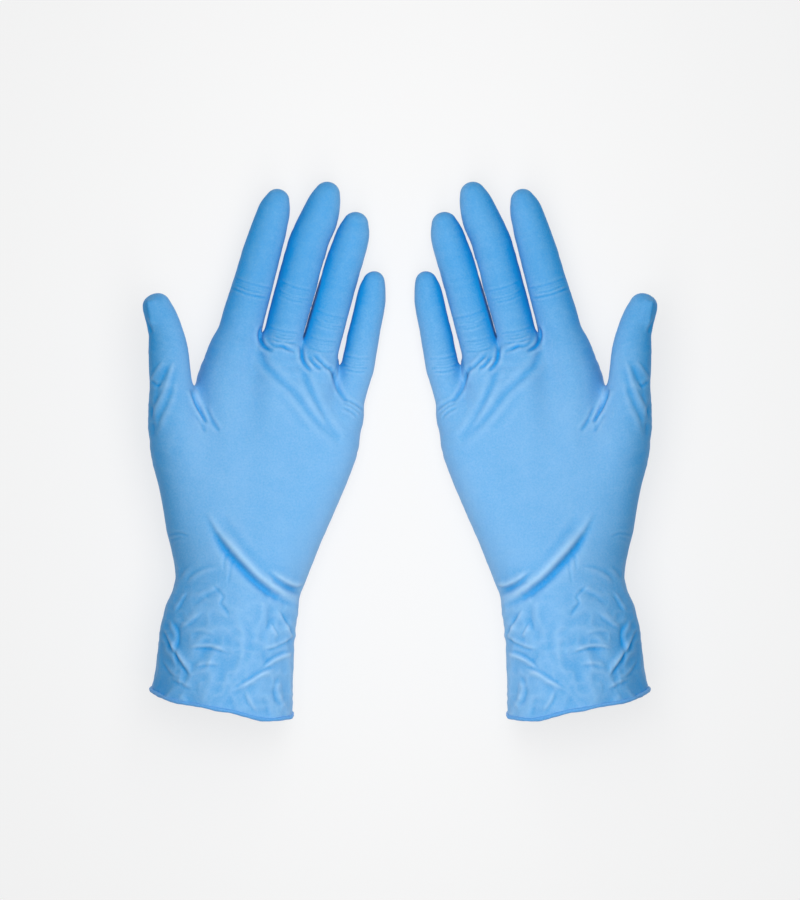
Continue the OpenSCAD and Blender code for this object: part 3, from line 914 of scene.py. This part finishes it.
# ---------------------------------------------------------------- materials
def make_film(name, dark, base, light, rough, bump):
    """Dipped film: painted shade deepens its colour in the creases and on shaded flanks, and painted light
    pales it on the crests, over the palm and on the flanks towards the lamp between the gloves.
    """
    material = bpy.data.materials.new(name)
    material.use_nodes = True
    tree = material.node_tree
    nodes, link = tree.nodes, tree.links.new
    nodes.clear()
    out = nodes.new("ShaderNodeOutputMaterial")
    shader = nodes.new("ShaderNodeBsdfPrincipled")
    link(shader.outputs[0], out.inputs[0])
    coords = nodes.new("ShaderNodeTexCoord")

    def noise(scale, detail, distortion=0.0):
        n = nodes.new("ShaderNodeTexNoise")
        n.inputs["Scale"].default_value = scale
        n.inputs["Detail"].default_value = detail
        n.inputs["Distortion"].default_value = distortion
        link(coords.outputs["Object"], n.inputs["Vector"])
        return n.outputs["Fac"]

    def mixed(value, factor, add):
        """value * factor + add, where add is a number or another output."""
        n = nodes.new("ShaderNodeMath")
        n.operation = "MULTIPLY_ADD"
        link(value, n.inputs[0])
        n.inputs[1].default_value = factor
        if isinstance(add, float):
            n.inputs[2].default_value = add
        else:
            link(add, n.inputs[2])
        return n.outputs[0]

    def attribute(key):
        """A value stored at each corner of the film, that paints shade and light into its colour."""
        n = nodes.new("ShaderNodeAttribute")
        n.attribute_name = key
        return n.outputs["Fac"]

    # the film's tone: faint clouds and a fine speckle, with painted light and painted shade from its shape
    # added
    cloudy = noise(60, 3)
    speckle = noise(1250, 2)
    tone_and_painted_shading = mixed(cloudy, 0.14, mixed(speckle, 0.26, 0.04))
    tone_and_painted_shading = mixed(attribute("painted_light"), 0.17, tone_and_painted_shading)
    tone_and_painted_shading = mixed(attribute("painted_shading"), 0.34, tone_and_painted_shading)
    ramp = nodes.new("ShaderNodeValToRGB")
    stops = ramp.color_ramp.elements
    stops[0].position, stops[0].color = 0.0, (*dark, 1)
    stops[1].position, stops[1].color = 0.78, (*light, 1)
    middle = stops.new(0.25)
    middle.color = (*base, 1)
    link(tone_and_painted_shading, ramp.inputs[0])
    link(ramp.outputs[0], shader.inputs["Base Color"])
    # roughness, a little patchy
    patchy = nodes.new("ShaderNodeMapRange")
    patchy.inputs["To Min"].default_value = rough - 0.06
    patchy.inputs["To Max"].default_value = rough + 0.08
    link(cloudy, patchy.inputs["Value"])
    link(patchy.outputs[0], shader.inputs["Roughness"])
    # fine grain of the dipped film, and soft puckers
    normal = None
    for height, strength, distance in ((noise(1500, 2), 0.4, 0.00012), (noise(300, 4, 0.6), 0.4, 0.00022)):
        bumps = nodes.new("ShaderNodeBump")
        bumps.inputs["Strength"].default_value = strength
        bumps.inputs["Distance"].default_value = distance * bump
        link(height, bumps.inputs["Height"])
        if normal:
            link(normal, bumps.inputs["Normal"])
        normal = bumps.outputs[0]
    link(normal, shader.inputs["Normal"])
    shader.inputs["IOR"].default_value = 1.5
    shader.inputs["Specular IOR Level"].default_value = 0.14
    shader.inputs["Subsurface Weight"].default_value = 0.10
    shader.inputs["Subsurface Radius"].default_value = (0.3, 0.7, 1.0)
    shader.inputs["Subsurface Scale"].default_value = 0.0012
    shader.inputs["Sheen Weight"].default_value = 0.04
    shader.inputs["Sheen Roughness"].default_value = 0.4
    shader.inputs["Sheen Tint"].default_value = (0.75, 0.88, 1.0, 1)
    return material


film = make_film("nitrile_film", dark=(0.005, 0.28, 0.69), base=(0.085, 0.345, 0.69),
                 light=(0.32, 0.555, 0.83), rough=0.50, bump=1.0)
bead_film = make_film("nitrile_bead", dark=(0.03, 0.20, 0.54), base=(0.085, 0.33, 0.70),
                      light=(0.28, 0.52, 0.86), rough=0.45, bump=0.8)

# ---------------------------------------------------------------- pieces
by_label = {}
for i, lab in enumerate(label):
    by_label.setdefault(lab, []).append(FACES[i])

WALLS = [web_plane(pair)[:2] for pair in WEBS]
# How much each stretch of a finger rises for each millimetre along it, at its root, middle and tip joints.
FINGER_RISE = (0, 0.02, 0.09)
# Each bending piece: the bodies it passes between, and where the passage starts and ends.
BLENDS = {
    "thumb_root_side": ("palm", "thumb_root", FROM_SIDE),
    "thumb_root_heel": ("palm", "thumb_root", FROM_HEEL),
    "thumb_root_web": ("palm", "thumb_root", FROM_WEB),
    "thumb_mid": ("thumb_root", "thumb_mid", (B_START, B_END)),
    "thumb_tip": ("thumb_mid", "thumb_tip", (C_START, C_END)),
    "cuff": ("palm", "cuff", (W_START, W_END)),
}
for f in FINGERS:
    chain = ["palm", f"{f}_base", f"{f}_mid", f"{f}_tip"]
    for k, (part, joint) in enumerate((("base", ROOT[f]), ("mid", MIDJ[f]), ("tip", TIPJ[f]))):
        t = unit(heading(HEAD[f]) + np.array([0, 0, FINGER_RISE[k]]))
        z = ZONE[f][k]
        BLENDS[f"{f}_{part}"] = (chain[k], chain[k + 1], (joint - z * t, joint + z * t))

# The CAD node that each piece stands for. The ball of the thumb's other two pieces have none of their own.
REPLACES = {lab: [lab] for lab in ("palm", "cuff", "thumb_mid", "thumb_tip")}
REPLACES["thumb_root_side"] = ["thumb_root"]
for f in FINGERS:
    for part in ("base", "mid", "tip"):
        REPLACES[f"{f}_{part}"] = [f"{f}_{part}"]

for lab, faces in by_label.items():
    walls = WALLS if lab == "palm" or lab.endswith("_base") else ()
    pos, polys, nrm, painted_shade_light = build(faces, walls)
    for side in ("left", "right"):
        mirror = side == "right"
        ob = add_piece(f"{side}_film_{lab}", pos, polys, nrm, painted_shade_light, mirror, film)
        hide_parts(*[f"{side}_{n}" for n in REPLACES.get(lab, [])])
        if lab in BLENDS:
            a, b, (s0, e0) = BLENDS[lab]
            s0, e0 = np.array(s0) * MM, np.array(e0) * MM
            if lab.startswith("thumb_root"):
                s0[2] = e0[2] = 0
            if mirror:
                s0[0] *= -1
                e0[0] *= -1
            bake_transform(ob, f"{side}_{a}", f"{side}_{b}", start=tuple(s0), end=tuple(e0))
        else:
            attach(ob, f"{side}_palm")

# rolled bead round the hem, swept along the film's own edge
edges = {}
for f in by_label["cuff"]:
    for a, b in zip(f, f[1:] + f[:1]):
        edges[(a, b)] = 1
nxt = {a: b for (a, b) in edges if (b, a) not in edges and AT_HEM[a] and AT_HEM[b]}
a = next(iter(nxt))
loop = []
while a in nxt:
    loop.append(a)
    a = nxt.pop(a)
ring = CORNERS[loop]
seg = np.linalg.norm(np.roll(ring, -1, 0) - ring, axis=1)
arc = np.concatenate([[0], np.cumsum(seg)])
COUNT, SIDES = 420, 12  # points along the bead and round it
CORE_LOWEST = 1.1
want = np.arange(COUNT) * arc[-1] / COUNT
closed = np.vstack([ring, ring[:1]])
core = np.stack([np.interp(want, arc, closed[:, i]) for i in range(3)], 1)
for repeat in range(2):
    core = 0.25 * np.roll(core, 1, 0) + 0.5 * core + 0.25 * np.roll(core, -1, 0)
core[:, 2] = np.maximum(core[:, 2], CORE_LOWEST)
tangent = np.roll(core, -1, 0) - np.roll(core, 1, 0)
tangent /= np.linalg.norm(tangent, axis=1, keepdims=True)
away = np.cross(tangent, HEM_N)
away /= np.linalg.norm(away, axis=1, keepdims=True)
if np.mean(np.sum(away * (core - core.mean(0)), 1)) < 0:
    away = -away
other = np.cross(tangent, away)
# the bead's radius, rolled a little unevenly
turn = np.arange(COUNT) / COUNT * 2 * math.pi
fat = 0.88 + 0.10 * np.sin(3 * turn + 1) * np.sin(7 * turn)
fat = fat + 0.07 * np.sin(17 * turn + 2) + 0.04 * np.sin(41 * turn)
pos = np.zeros((COUNT * SIDES, 3))
nrm = np.zeros_like(pos)
for j in range(SIDES):
    ang = 2 * math.pi * j / SIDES
    d = math.cos(ang) * away + math.sin(ang) * other
    pos[j::SIDES] = core + fat[:, None] * d
    nrm[j::SIDES] = d
polys = []
for i in range(COUNT):
    for j in range(SIDES):
        i2, j2 = (i + 1) % COUNT, (j + 1) % SIDES
        polys.append([i * SIDES + j, i2 * SIDES + j, i2 * SIDES + j2, i * SIDES + j2])
# the faces look outwards
a3, b3, c3 = (pos[q] for q in polys[0][:3])
if np.cross(b3 - a3, c3 - a3) @ nrm[polys[0][0]] < 0:
    polys = [p[::-1] for p in polys]
# the bead gets no painted shade and an even painted light across it
plain = {"painted_shading": np.zeros(len(pos)), "painted_light": np.full(len(pos), 0.5)}
for side in ("left", "right"):
    ob = add_piece(f"{side}_hem_bead", pos, polys, nrm, plain, side == "right", bead_film)
    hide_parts(f"{side}_cuff_bead")
    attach(ob, f"{side}_cuff")

# ---------------------------------------------------------------- floor and light
bpy.ops.mesh.primitive_plane_add(size=3.0, location=(0, 0, 0))
floor = bpy.context.active_object
floor.name = "floor"
paper = bpy.data.materials.new("floor_paper")
paper.use_nodes = True
paper_shader = paper.node_tree.nodes["Principled BSDF"]
paper_shader.inputs["Base Color"].default_value = (0.20, 0.20, 0.20, 1)
paper_shader.inputs["Roughness"].default_value = 1.0
paper_shader.inputs["Specular IOR Level"].default_value = 0.0
paper_shader.inputs["Emission Color"].default_value = (1, 1, 1, 1)
paper_shader.inputs["Emission Strength"].default_value = 0.73
floor.data.materials.append(paper)

world = bpy.data.worlds.new("soft")
scene.world = world
world.use_nodes = True
sky = world.node_tree.nodes["Background"]
sky.inputs["Color"].default_value = (0.97, 0.985, 1.0, 1)
sky.inputs["Strength"].default_value = 0.31


def area(name, place, width, length, power):
    """A soft light that faces straight down, out of the camera's sight."""
    data = bpy.data.lights.new(name, "AREA")
    data.shape = "RECTANGLE"
    data.size, data.size_y = width, length
    data.energy = power
    light = bpy.data.objects.new(name, data)
    scene.collection.objects.link(light)
    light.location = place
    light.visible_camera = False


area("middle", (0, 0.02, 0.22), width=0.10, length=0.44, power=0.37)
area("above", (0, 0.1, 1.2), width=0.6, length=0.8, power=5.6)

scene.view_settings.view_transform = "Standard"
